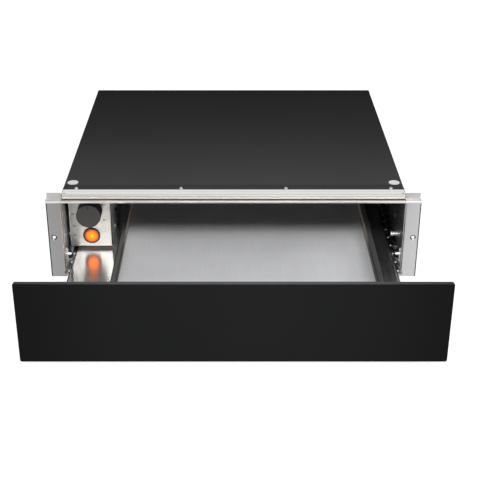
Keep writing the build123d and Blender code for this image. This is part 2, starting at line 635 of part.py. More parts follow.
def thermostat():
    """Capillary thermostat body with its bush behind the fascia."""
    y = FASCIA_Y + FASCIA_T
    body = block(CONTROL_X - 17, CONTROL_X + 17, y, y + 34, KNOB_Z - 17, KNOB_Z + 17)
    body = fillet(body.edges().filter_by(Axis.Y), 3)
    body += rod(12, (CONTROL_X, y + 30, KNOB_Z), (CONTROL_X, y + 42, KNOB_Z))
    body -= rod(SHAFT_R + RUN_GAP, (CONTROL_X, y - 1, KNOB_Z), (CONTROL_X, y + 26, KNOB_Z))
    for dx in (-10, 0, 10):
        body += block(CONTROL_X + dx - 3, CONTROL_X + dx + 3, y + 34, y + 45, KNOB_Z - 16, KNOB_Z - 15.2)
    return body


def knob_shaft():
    y0, y1 = FASCIA_Y - KNOB_OUT + 5, FASCIA_Y + FASCIA_T + 24
    shaft = rod(SHAFT_R, (CONTROL_X, y0, KNOB_Z), (CONTROL_X, y1, KNOB_Z))
    return shaft - block(CONTROL_X - 4, CONTROL_X + 4, y0 - 1, y0 + 14, KNOB_Z + SHAFT_R - 1, KNOB_Z + 5)


def knob():
    """Hollow round knob with a D-bored boss and a pointer notch."""
    face, back = FASCIA_Y - KNOB_OUT, FASCIA_Y - KNOB_PLAY
    at = (CONTROL_X, KNOB_Z)
    body = rod(KNOB_R, (at[0], face, at[1]), (at[0], back, at[1]))
    body = fillet(body.faces().sort_by(Axis.Y)[0].edges(), 1.2)
    body -= rod(KNOB_R - 2.5, (at[0], face + 4, at[1]), (at[0], back + 1, at[1]))
    body += rod(6.5, (at[0], face + 3, at[1]), (at[0], back - 1, at[1]))
    bore = rod(SHAFT_R, (at[0], face + 5, at[1]), (at[0], back + 2, at[1]))
    bore -= block(at[0] - 4, at[0] + 4, face + 4, face + 19, at[1] + SHAFT_R - 1, at[1] + 5)
    body -= bore
    body -= block(at[0] - 0.9, at[0] + 0.9, face - 1, face + 1.0, at[1] + KNOB_R - 6.5, at[1] + KNOB_R - 3)
    return body


def switch_body():
    """Push switch: bezel in front of the fascia, body and tabs behind it."""
    y = FASCIA_Y
    bezel = rod(BEZEL_R, (CONTROL_X, y - BEZEL_OUT, BUTTON_Z), (CONTROL_X, y, BUTTON_Z))
    bezel = chamfer(bezel.faces().sort_by(Axis.Y)[0].edges(), 0.8)
    bezel += rod(SWITCH_R, (CONTROL_X, y, BUTTON_Z), (CONTROL_X, y + 26, BUTTON_Z))
    bezel -= rod(BUTTON_R + RUN_GAP, (CONTROL_X, y - 4, BUTTON_Z), (CONTROL_X, y + 12, BUTTON_Z))
    for dx in (-5, 5):
        bezel += block(CONTROL_X + dx - 2.4, CONTROL_X + dx + 2.4, y + 26, y + 35, BUTTON_Z - 0.4, BUTTON_Z + 0.4)
    return bezel


def power_button():
    """Illuminated domed cap."""
    y0 = FASCIA_Y - BUTTON_OUT
    cap = rod(BUTTON_R, (CONTROL_X, y0, BUTTON_Z), (CONTROL_X, FASCIA_Y + 12 - BUTTON_TRAVEL - 0.5, BUTTON_Z))
    return fillet(cap.faces().sort_by(Axis.Y)[0].edges(), 1.4)


# ---------------------------------------------------------------- fan heater
def fan_frame():
    """Square axial fan frame with its motor carried on three struts."""
    half = FAN_SIZE / 2
    frame = block(FAN_X, FAN_X + FAN_D, FAN_Y - half, FAN_Y + half, FAN_Z - half, FAN_Z + half)
    frame = fillet(frame.edges().filter_by(Axis.X), 4)
    frame -= rod(FAN_BORE_R, (FAN_X - 1, FAN_Y, FAN_Z), (FAN_X + FAN_D + 1, FAN_Y, FAN_Z))
    for i in range(3):
        strut = block(FAN_X, FAN_X + 3, -2, 2, HUB_R - 2, FAN_BORE_R + 1)
        frame += Pos(0, FAN_Y, FAN_Z) * Rot(X=120 * i + 30) * strut
    return frame + rod(HUB_R, (FAN_X, FAN_Y, FAN_Z), (FAN_X + 5, FAN_Y, FAN_Z))


def fan_impeller():
    """Hub with twisted blades."""
    x0, x1 = FAN_X + 5.6, FAN_X + FAN_D - 2
    hub = rod(HUB_R, (x0, FAN_Y, FAN_Z), (x1, FAN_Y, FAN_Z))
    hub = fillet(hub.faces().sort_by(Axis.X)[-1].edges(), 2)
    pitch_root, pitch_tip = 48, 28
    mid = (x0 + x1) / 2
    for i in range(BLADES):
        root = Plane(origin=(0, 0, HUB_R - 1.5), z_dir=(0, 0, 1)) * Rot(Z=pitch_root) * Rectangle(1.6, 17)
        tip = Plane(origin=(0, 0, FAN_TIP_R), z_dir=(0, 0, 1)) * Rot(Z=pitch_tip) * Rectangle(1.0, 21)
        blade = loft([root, tip])
        hub += Pos(mid, FAN_Y, FAN_Z) * Rot(X=360 / BLADES * i) * blade
    return hub & rod(FAN_BORE_R - 1, (x0, FAN_Y, FAN_Z), (x1, FAN_Y, FAN_Z))


def heater_element():
    """Sheathed element bent to a hairpin in front of the fan, on its fixing plate."""
    x, y0, y1 = FAN_X + FAN_D + ELEMENT_SPACE, PARTITION_Y + BOX_T, FAN_Y + FAN_SIZE / 2
    low, high = FAN_Z - FAN_SIZE / 4, FAN_Z + FAN_SIZE / 4
    bends = FilletPolyline((x, y0, low), (x, y1, low), (x, y1, high), (x, y0, high), radius=FAN_SIZE / 5)
    tube = sweep(Plane(origin=(x, y0, low), z_dir=(0, 1, 0)) * Circle(ELEMENT_R), path=bends)
    plate = block(x - ELEMENT_R - 2, x + ELEMENT_R + 2, y0, y0 + 1.5, low - 9, high + 9)
    return plate + tube


def thermal_cutout():
    """Disc thermostat that guards the heater, on the housing's rear wall."""
    x, y, z = HOUSING_RIGHT - 13, BOX_BACK - BOX_T, COVER_UNDER - 12
    return rod(8, (x, y - 7, z), (x, y, z)) + block(x - 12, x + 6, y - 1, y, z - 5, z + 5)


def cable_gland():
    """Strain-relief gland in the rear panel."""
    inner, outer = CASE_BACK - SHEET - 5, CASE_BACK + GLAND_OUT
    gland = rod(GLAND_R, (GLAND_X, inner, GLAND_Z), (GLAND_X, outer - 6, GLAND_Z))
    gland += cone(GLAND_R, GLAND_R - 3, (GLAND_X, outer - 6, GLAND_Z), (GLAND_X, outer, GLAND_Z))
    nut = extrude(Plane(origin=(GLAND_X, CASE_BACK, GLAND_Z), z_dir=(0, 1, 0)) * RegularPolygon(13, 6), 5)
    gland += nut
    return gland - rod(GLAND_BORE_R, (GLAND_X, inner - 1, GLAND_Z), (GLAND_X, outer + 1, GLAND_Z))


def terminal_block():
    """Three-way mains terminal block on the base pan behind the drawer."""
    x0, back, pitch = TERMINAL_INSET - IN_X, CASE_BACK - 9, TERMINAL_PITCH
    base = block(x0, x0 + TERMINALS * pitch, back - 20, back, SHEET, SHEET + 16)
    for i in range(TERMINALS):
        x = x0 + pitch * (i + 0.5)
        base -= rod(2.6, (x, back - 10, SHEET + 12), (x, back - 10, SHEET + 17))
        base -= block(x - 3.5, x + 3.5, back - 21, back - 16, SHEET + 5, SHEET + 11)
    return base


def buffers():
    """Rubber stops on the ends of the fixed slide members that the shut front rests against."""
    low = SLIDE_MID - INNER_H / 2 + SLIDE_WALL + RUN_GAP
    stop = block(IN_X - BUFFER_W, IN_X, SHUT_BACK + RUN_GAP, SLIDE_Y, low, low + BUFFER_H)
    stop = chamfer(stop.faces().sort_by(Axis.Y)[0].edges(), 0.8)
    return [stop, other_side(stop)]


# ---------------------------------------------------------------- write the nodes
def nodes():
    post = right_post()
    outer = outer_member()
    inner = inner_member()
    cage = ball_cage()
    stop = slide_stop()
    pins = guide_pins()
    side = side_panel()
    return {
        "base_pan": [base_pan()],
        "right_side_panel": [side],
        "left_side_panel": [other_side(side)],
        "rear_panel": [rear_panel()],
        "top_cover": [top_cover()],
        "cover_screws": cover_screws(),
        "right_post": [post],
        "left_post": [other_side(post)],
        "top_bar": [top_bar()],
        "top_rail": [top_rail()],
        "slide_outer_right": [outer],
        "slide_outer_left": [other_side(outer)],
        "slide_inner_right": [inner],
        "slide_inner_left": [other_side(inner)],
        "ball_cage_right": cage,
        "ball_cage_left": [other_side(b) for b in cage],
        "slide_stop_right": [stop],
        "slide_stop_left": [other_side(stop)],
        "guide_pins": pins + [other_side(b) for b in pins],
        "front_glass": [front_glass()],
        "front_backing": [front_backing()],
        "drawer_front_wall": [drawer_front_wall()],
        "drawer_floor": [drawer_floor()],
        "warming_plate": [warming_plate()],
        "left_bay_wall": [left_bay_wall()],
        "right_bay_wall": [right_bay_wall()],
        "rear_bay_wall": [rear_bay_wall()],
        "front_screws": front_screws(),
        "corner_brackets": corner_brackets(),
        "latch_striker": [latch_striker()],
        "latch_body": [latch_body()],
        "latch_plunger": [latch_plunger()],
        "control_fascia": [control_fascia()],
        "control_box": [control_box()],
        "control_box_screws": box_screws(),
        "thermostat": [thermostat()],
        "knob_shaft": [knob_shaft()],
        "knob": [knob()],
        "switch_body": [switch_body()],
        "power_button": [power_button()],
        "fan_frame": [fan_frame()],
        "fan_impeller": [fan_impeller()],
        "heater_element": [heater_element()],
        "thermal_cutout": [thermal_cutout()],
        "cable_gland": [cable_gland()],
        "terminal_block": [terminal_block()],
        "buffers": buffers(),
    }


def main():
    os.makedirs("parts", exist_ok=True)
    for name, solids in nodes().items():
        pieces = [s for shape in solids for s in shape.solids()]
        shape = pieces[0] if len(pieces) == 1 else Compound(children=pieces)
        export_step(shape, f"parts/{name}.step")
        print(name, len(pieces))


main()
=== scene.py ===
"""Looks of the built-in warming drawer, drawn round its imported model.

Everything is in metres, in the model's own frame: X across the front, Y into the cabinet, Z up.
"""

import math

import bpy
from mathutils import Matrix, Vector

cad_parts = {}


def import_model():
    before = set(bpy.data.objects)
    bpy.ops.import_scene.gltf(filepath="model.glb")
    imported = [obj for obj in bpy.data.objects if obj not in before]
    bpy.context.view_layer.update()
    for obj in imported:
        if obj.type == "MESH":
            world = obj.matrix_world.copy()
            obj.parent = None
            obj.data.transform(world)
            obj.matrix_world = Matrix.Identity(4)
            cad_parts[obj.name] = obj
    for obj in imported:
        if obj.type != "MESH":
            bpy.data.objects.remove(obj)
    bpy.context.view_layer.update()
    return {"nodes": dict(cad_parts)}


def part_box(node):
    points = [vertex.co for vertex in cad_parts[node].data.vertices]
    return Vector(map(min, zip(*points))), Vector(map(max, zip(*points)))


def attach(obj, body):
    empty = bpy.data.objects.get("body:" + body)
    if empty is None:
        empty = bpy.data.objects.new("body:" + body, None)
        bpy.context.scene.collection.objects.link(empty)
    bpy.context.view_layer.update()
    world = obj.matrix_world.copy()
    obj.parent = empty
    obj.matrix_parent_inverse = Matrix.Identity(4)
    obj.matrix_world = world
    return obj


MM = 0.001
FRAME_PX = 480                      # the photograph is this many pixels wide and high

# Camera, solved from the photograph's straight edges
FOCAL_PX = 1036.5
CENTRE_PX = 233.54                  # column of the optical axis
CAMERA_Y = -1475.1 * MM
CAMERA_Z = 813.1 * MM
PITCH_DOWN = 26.86
SENSOR = 36.0

# Studio, in metres and watts
FLOOR_SIZE = 16.0
FLOOR_DROP = 0.5 * MM
FLOOR_GREY = 0.6                    # what the floor gives back to the object
SHADOW_GREY, FLOOR_GLOW = 0.3, 0.86     # what the camera sees of it: shadows on a pale ground
WORLD_LIGHT = 0.42
LAMP_AIM = (0.0, 0.0, 0.08)
LAMPS = {                           # azimuth, elevation, distance, size and power
    "key": (8, 43, 2.6, (1.8, 0.48), 60),
    "right_side": (75, 30, 2.2, (1.0, 1.0), 12),
    "left_side": (-75, 30, 2.2, (1.0, 1.0), 6),
}

# Places on the object, in millimetres
EAR_IN, EAR_OUT = 270.5, 295.3      # a mounting ear, from the case to its outer edge
FIX_X, FIX_Z, SINK_R = 285.8, 70.5, 4.7     # its fixing hole, and the countersink's radius
FASCIA_Y = 35.0                     # front face of the fascia
FASCIA_RIGHT = -198.2
COVER_TOP = 142.0
COVER_SIDE = 271.3
SIDE_SCREW_Y, SIDE_SCREW_Z = (247.0, 477.0), 135.8
STICKER_X, STICKER_Y = 258.5, 55.0
RAIL_END = 269.5
RAIL_Y = (5.0, 25.5)
RAIL_Z = (134.2, 142.7)
RAIL_NOSE_R = 4.1
RAIL_CAP = 0.9                      # thickness of the rail's end caps
GROMMET_Y, GROMMET_Z = 94.0, 75.0
PIP_X, PIP_Z = 259.1, 31.5
PIP_FIRST_Y, PIP_PITCH, PIP_COUNT = -40.0, 29.5, 8
DIAL_NUMBERS = (("30", -259.7, 95.0), ("50", -257.9, 73.7), ("60", -258.4, 57.5), ("80", -209.0, 84.6))
DIAL_SIZE = 5.0
DIAL_DEPTH, DIAL_GAP = 0.03, 0.04   # the numbers' thickness, and their distance from the fascia
SIDES = ((-1, "left"), (1, "right"))


def add_object(name, data):
    """A new object in the scene."""
    made = bpy.data.objects.new(name, data)
    bpy.context.scene.collection.objects.link(made)
    return made


# ---------------------------------------------------------------- node helpers
def material(name):
    """A new material, with its tree and its principled shader."""
    made = bpy.data.materials.new(name)
    made.use_nodes = True
    return made, made.node_tree, made.node_tree.nodes["Principled BSDF"]


def node(tree, kind, inputs=None, **settings):
    """Adds a node. Inputs are values or sockets, by name or number."""
    made = tree.nodes.new("ShaderNode" + kind)
    for key, value in settings.items():
        setattr(made, key, value)
    for key, value in (inputs or {}).items():
        if isinstance(value, bpy.types.NodeSocket):
            tree.links.new(value, made.inputs[key])
        else:
            made.inputs[key].default_value = value
    return made


def set_shader(tree, shader, **inputs):
    """Sets the shader's inputs, named with _ for a space, to values or sockets."""
    for key, value in inputs.items():
        socket = shader.inputs[key.replace("_", " ")]
        if isinstance(value, bpy.types.NodeSocket):
            tree.links.new(value, socket)
        else:
            socket.default_value = value


def place(tree, scale):
    """Object coordinates times a scale for each axis, in cycles per metre."""
    where = node(tree, "TexCoord").outputs["Object"]
    return node(tree, "Mapping", {"Vector": where, "Scale": scale}).outputs["Vector"]


def noise(tree, scale, detail=3.0, roughness=0.5):
    """Noise value, 0 to 1, at that many cycles per metre on each axis."""
    made = node(tree, "TexNoise", {"Vector": place(tree, scale), "Scale": 1.0, "Detail": detail,
                                   "Roughness": roughness})
    return made.outputs["Fac"]


def maths(tree, operation, *values):
    """One step of arithmetic on values or sockets."""
    return node(tree, "Math", dict(enumerate(values)), operation=operation).outputs[0]


def spread(tree, value, low, high, from_low=0.3, from_high=0.7):
    """Maps a texture's value to a range."""
    made = node(tree, "MapRange", {"Value": value, "From Min": from_low, "From Max": from_high,
                                   "To Min": low, "To Max": high})
    return made.outputs["Result"]


def shades(tree, value, *stops):
    """Colour ramp with stops of (place, grey or colour)."""
    ramp = node(tree, "ValToRGB", {"Fac": value})
    band = ramp.color_ramp
    while len(band.elements) < len(stops):
        band.elements.new(0.5)
    for element, (where, colour) in zip(band.elements, stops):
        element.position = where
        element.color = rgba(colour)
    return ramp.outputs["Color"]


def rgba(colour):
    """A grey or an RGB triple as RGBA."""
    if isinstance(colour, (int, float)):
        colour = (colour,) * 3
    return (*colour[:3], 1.0)


def scaled(colour, factor):
    return tuple(c * factor for c in rgba(colour)[:3])


def varied(tree, value, colour, darker, lighter, ends=(0.3, 0.7)):
    """A colour that a texture's value makes darker and lighter."""
    return shades(tree, value, (ends[0], scaled(colour, darker)), (ends[1], scaled(colour, lighter)))


def along(tree, axis, absolute=False):
    """One object coordinate, or its distance from the centre."""
    where = node(tree, "TexCoord").outputs["Object"]
    part = node(tree, "SeparateXYZ", {0: where}).outputs[axis]
    return maths(tree, "ABSOLUTE", part) if absolute else part


def facing(tree, axis):
    """One part of the surface's normal."""
    return node(tree, "SeparateXYZ", {0: node(tree, "NewGeometry").outputs["Normal"]}).outputs[axis]


def bands(tree, value, *stops):
    """Colours at places given in millimetres, from the first to the last."""
    low, high = stops[0][0], stops[-1][0]
    share = spread(tree, value, 0.0, 1.0, low * MM, high * MM)
    return shades(tree, share, *[((at - low) / (high - low), colour) for at, colour in stops])


def times(tree, *colours):
    """Product of colour sockets."""
    made = colours[0]
    for colour in colours[1:]:
        made = node(tree, "VectorMath", {0: made, 1: colour}, operation="MULTIPLY").outputs["Vector"]
    return made


def times_painted_light(tree, colour, painted_light):
    """A colour times a colour of painted light and shade, where there is one."""
    return times(tree, colour, painted_light(tree)) if painted_light else colour


def choice(tree, share, first, second):
    """The first colour where share is 0, the second where it is 1."""
    return node(tree, "Mix", {0: share, 6: first, 7: second}, data_type="RGBA").outputs[2]


def bump(tree, height, depth):
    """Normal of a surface whose height texture is depth metres deep."""
    return node(tree, "Bump", {"Height": height, "Distance": depth}).outputs["Normal"]


# ---------------------------------------------------------------- materials
def brushed(name, colour, rough, grain, vary=0.06, depth=0.00002, fine=2600.0, metallic=1.0, edge=1.0,
            uneven=0.06, level=0.5, painted_light=None):
    """Brushed metal, with its scratches along one axis.

    There are fine scratches a metre, depth metres deep. They change the colour by vary and the roughness
    by uneven. Edge tints the metal at a glancing angle, and level is the gloss of what isn't metallic.
    """
    made, tree, shader = material(name)
    scale = [fine] * 3
    scale["XYZ".index(grain)] = 14.0
    streaks = noise(tree, scale, detail=4.0, roughness=0.6)
    cloud = noise(tree, [9.0] * 3, detail=2.0)
    both = spread(tree, maths(tree, "ADD", streaks, cloud), 0.0, 1.0, 0.7, 1.3)
    base = varied(tree, both, colour, 1 - vary, 1 + vary, ends=(0.0, 1.0))
    set_shader(tree, shader,
               Base_Color=times_painted_light(tree, base, painted_light),
               Metallic=metallic,
               Specular_Tint=rgba(edge),
               Specular_IOR_Level=level,
               Roughness=spread(tree, streaks, rough - uneven, rough + uneven),
               Normal=bump(tree, streaks, depth))
    return made


def galvanised(name, colour, rough):
    """Zinc-coated sheet with a faint spangle."""
    made, tree, shader = material(name)
    spangle = node(tree, "TexVoronoi", {"Vector": place(tree, [170.0] * 3), "Scale": 1.0})
    grey = node(tree, "RGBToBW", {"Color": spangle.outputs["Color"]}).outputs["Val"]
    grain = noise(tree, [900.0] * 3)
    set_shader(tree, shader,
               Base_Color=varied(tree, grey, colour, 0.88, 1.12, ends=(0.1, 0.9)),
               Metallic=1.0,
               Roughness=spread(tree, grey, rough - 0.07, rough + 0.07, 0.1, 0.9),
               Normal=bump(tree, grain, 0.00002))
    return made


def plated(name, colour, rough, metallic=1.0):
    """Bright plating on small pressed parts."""
    made, tree, shader = material(name)
    wear = noise(tree, [420.0] * 3, detail=4.0)
    set_shader(tree, shader,
               Base_Color=varied(tree, wear, colour, 0.86, 1.06),
               Metallic=metallic,
               Roughness=spread(tree, wear, rough - 0.05, rough + 0.1),
               Normal=bump(tree, wear, 0.00003))
    return made


def painted(name, colour, rough, level, painted_light=None):
    """Fine-textured powder coat."""
    made, tree, shader = material(name)
    texture = noise(tree, [2400.0] * 3, detail=2.0)
    cloud = noise(tree, [6.0] * 3)
    set_shader(tree, shader,
               Base_Color=times_painted_light(tree, varied(tree, cloud, colour, 0.95, 1.05), painted_light),
               Roughness=spread(tree, cloud, rough - 0.03, rough + 0.03),
               Specular_IOR_Level=level,
               Normal=bump(tree, texture, 0.000018))
    return made


def moulded(name, colour, rough, level=0.4, painted_light=None):
    """Moulded plastic or rubber with a fine grain."""
    made, tree, shader = material(name)
    grain = noise(tree, [1500.0] * 3)
    patch = noise(tree, [60.0] * 3)
    set_shader(tree, shader,
               Base_Color=times_painted_light(tree, varied(tree, patch, colour, 0.92, 1.08), painted_light),
               Roughness=spread(tree, grain, rough - 0.05, rough + 0.05),
               Specular_IOR_Level=level,
               Normal=bump(tree, grain, 0.00002))
    return made


def dark_glass(name):
    """Satin black glass, with painted shade towards its sides and a painted highlight along its top edge.
    """
    made, tree, shader = material(name)
    haze = noise(tree, [5.0] * 3)
    grain = noise(tree, [3200.0] * 3)
    cloud = shades(tree, haze, (0.3, (0.0058, 0.0060, 0.0063)), (0.7, (0.0072, 0.0074, 0.0077)))
    painted_side_shade = bands(tree, along(tree, "X", True), (0, 1.05), (150, 0.85), (297, 0.2))
    # painted highlight along the top edge
    edge = bands(tree, along(tree, "Z"), (132.0, 1.0), (132.8, 6.0), (133.2, 9.0))
    set_shader(tree, shader,
               Base_Color=times(tree, cloud, painted_side_shade, edge),
               Roughness=spread(tree, haze, 0.3, 0.36),
               Specular_IOR_Level=0.08,
               Normal=bump(tree, grain, 0.000004))
    return made


def polished_sheet(name, colour, rough):
    """Polished sheet, rubbed so that what it mirrors is drawn out along Y. Its right side has painted
    shade.
    """
    made, tree, shader = material(name)
    streaks = noise(tree, [900.0, 9.0, 900.0])
    base = varied(tree, streaks, colour, 0.97, 1.02)
    edge = bands(tree, along(tree, "X", True), (254.0, 1.0), (255.4, (0.62, 0.58, 0.53)),
                 (257.0, (0.5, 0.47, 0.43)))
    # painted shade: the right side darker than the left
    side = bands(tree, along(tree, "X"), (-257, 1.0), (200, 1.0), (219, 0.45), (257, 0.45))
    grooves = node(tree, "Tangent", direction_type="RADIAL", axis="X").outputs["Tangent"]
    set_shader(tree, shader,
               Base_Color=times(tree, base, edge, side),
               Metallic=1.0,
               Anisotropic=0.93,
               Roughness=spread(tree, streaks, rough - 0.02, rough + 0.02),
               Tangent=grooves)
    return made


def lit_lens(name, centre, radius):
    """Amber lens with its lamp a little above and beside the middle, and a dark rim."""
    made, tree, shader = material(name)
    where = node(tree, "TexCoord").outputs["Object"]
    lamp_at = Vector(centre) + Vector((0.06 * radius, 0, 0.1 * radius))
    gap = node(tree, "VectorMath", {0: where, 1: lamp_at}, operation="DISTANCE").outputs["Value"]
    ring = spread(tree, gap, 0.0, 1.0, 0.0, radius * 1.1)
    ribs = noise(tree, [900.0] * 3)
    glow = shades(tree, ring, (0.0, (1.0, 0.40, 0.015)), (0.22, (1.0, 0.23, 0.004)),
                  (0.6, (0.9, 0.115, 0.002)), (0.84, (0.27, 0.03, 0.001)), (0.93, (0.035, 0.005, 0.0005)))
    set_shader(tree, shader,
               Base_Color=times(tree, glow, shades(tree, ring, (0.0, 0.35), (1.0, 1.0))),
               Roughness=0.3,
               Emission_Color=glow,
               Emission_Strength=1.6,
               Specular_IOR_Level=0.2,
               Normal=bump(tree, ribs, 0.00001))
    return made


# ---------------------------------------------------------------- painted light and shade
# Each gives a colour to multiply a finish by, from bands of (millimetres, grey or colour), and so paints
# light and shade onto it.
def cover_painted_shade(tree):
    """Cover with painted shade, darker towards the back and on the front strip."""
    return bands(tree, along(tree, "Y"), (25, 0.8), (33, 0.8), (34.5, 0.95), (37, 0.95), (38.5, 0.8),
                 (45.5, 0.8), (47, 1.0), (140, 0.82), (266, 0.53), (515, 0.28))


def rail_painted_light(tree):
    """Satin trim with painted light: a painted warm reflection below, painted shade along its nose and a
    painted highlight on top.
    """
    return bands(tree, along(tree, "Z"), (134.2, (1.66, 1.56, 1.42)), (136.8, (1.66, 1.58, 1.46)),
                 (138.2, (1.3, 1.25, 1.18)), (139.2, (0.9, 0.87, 0.84)), (140.0, (0.5, 0.49, 0.47)),
                 (140.5, (0.38, 0.37, 0.36)), (141.4, (0.38, 0.375, 0.365)), (142.0, (0.7, 0.69, 0.68)),
                 (142.7, (1.2, 1.19, 1.17)))


def bar_painted_light(tree):
    """Bar over the opening: a painted highlight on its lip, a fine painted shadow line over it, and painted
    shade to the left.
    """
    painted_lip_light = bands(tree, along(tree, "Z"), (130.0, 1.0), (131.0, 1.35), (133.3, 1.35), (133.75, 0.8),
                (134.0, 1.0), (136.0, 1.0))
    # painted shade: the left end a little darker than the right
    side = bands(tree, along(tree, "X"), (-EAR_OUT, 0.97), (-EAR_IN, 0.97), (EAR_IN, 1.0), (EAR_OUT, 1.0))
    return times(tree, painted_lip_light, side)


def ear_painted_light(tree):
    """Ears: a painted highlight on the inner edge, painted shade on the outer one, and painted shade and
    highlight in the countersink of the fixing hole.

    The left ear has painted shade, with a painted highlight line and a warm painted reflection beside the
    case. Only faces to the front have all this.
    """
    # painted shade over the left ear, with a painted highlight and a warm painted reflection beside the
    # case
    side = bands(tree, along(tree, "X"), (-EAR_OUT, 0.58), (-EAR_IN - 3.6, 0.58), (-EAR_IN - 3.2, 1.3),
                 (-EAR_IN - 2.1, 1.25), (-EAR_IN - 1.8, (0.75, 0.62, 0.55)), (-EAR_IN, (0.7, 0.58, 0.5)),
                 (EAR_IN, 1.0), (EAR_OUT, 1.0))
    # painted highlight on the inner edge, painted shade on the outer bend
    painted_edge_light = bands(tree, along(tree, "X", True), (EAR_IN, 1.3), (EAR_IN + 1.0, 1.3), (EAR_IN + 1.6, 1.0),
                  (EAR_OUT - 2.4, 1.0), (EAR_OUT - 1.9, 0.12), (EAR_OUT - 0.2, 0.12), (EAR_OUT, 1.0))
    x = maths(tree, "SUBTRACT", along(tree, "X", True), FIX_X * MM)
    z = maths(tree, "SUBTRACT", along(tree, "Z"), FIX_Z * MM)
    at = node(tree, "CombineXYZ", {0: x, 2: z}).outputs[0]
    outward = node(tree, "VectorMath", {0: at, 1: (0.7, 0, -0.7)}, operation="DOT_PRODUCT").outputs["Value"]
    radius = node(tree, "VectorMath", {0: at}, operation="LENGTH").outputs["Value"]
    # painted shade on the upper inner side of the countersink, painted highlight on its lower outer side
    painted_sink_shade = bands(tree, outward, (-SINK_R, 0.04), (1.2, 0.06), (2.4, 0.8), (SINK_R, 1.6))
    inside = spread(tree, radius, 1.0, 0.0, (SINK_R - 0.4) * MM, SINK_R * MM)
    painted_countersink = choice(tree, inside, rgba(1.0), painted_sink_shade)
    front = maths(tree, "LESS_THAN", facing(tree, "Y"), -0.3)
    return choice(tree, front, rgba(0.9), times(tree, side, painted_edge_light, painted_countersink))


def fascia_painted_light(tree):
    """Fascia: a painted highlight along its outer edge, and a strip beside it darkened as a painted
    reflection.
    """
    return bands(tree, along(tree, "X"), (-266, 2.3), (-264.5, 2.0), (-264.1, 0.8), (-251.5, 0.84),
                 (-249.0, 1.0), (-198, 1.0))


def wall_painted_light(tree):
    """Compartment walls: painted shade inside, darkest towards the front, with a painted warm reflection
    low down towards the back, and plain outside.
    """
    # painted shade and a warm painted reflection band across the inner face
    inside = bands(tree, along(tree, "Z"), (32, 0.2), (34.0, 0.3), (36.0, (2.0, 1.77, 1.55)),
                   (50.0, (2.0, 1.77, 1.55)), (52.0, 0.1), (70.0, 0.1), (75.2, 0.12), (76.0, 0.26))
    painted_depth_shade = bands(tree, along(tree, "Y"), (-244, 0.08), (10, 0.08), (100, 0.9), (200, 1.4))
    outward = maths(tree, "MULTIPLY", along(tree, "X"), facing(tree, "X"))
    outside = maths(tree, "GREATER_THAN", outward, 0.0)
    return choice(tree, outside, times(tree, inside, painted_depth_shade), rgba(0.45))


def plate_painted_light(tree):
    """Warming plate with painted light, a little lighter behind its middle and at its sides."""
    painted_length_light = bands(tree, along(tree, "Y"), (-244, 0.92), (-60, 0.93), (20, 1.06), (60, 1.12), (85, 0.96),
                   (110, 0.88), (203, 0.9))
    side = bands(tree, along(tree, "X", True), (0, 0.98), (100, 1.0), (160, 1.12), (220, 1.16))
    return times(tree, painted_length_light, side)


def knob_painted_shade(tree):
    """Knob: soft grey face, with painted shade over its skirt and in its notch."""
    return bands(tree, along(tree, "Y"), (11.0, 1.0), (11.35, 1.0), (11.7, 0.12), (35.0, 0.12))


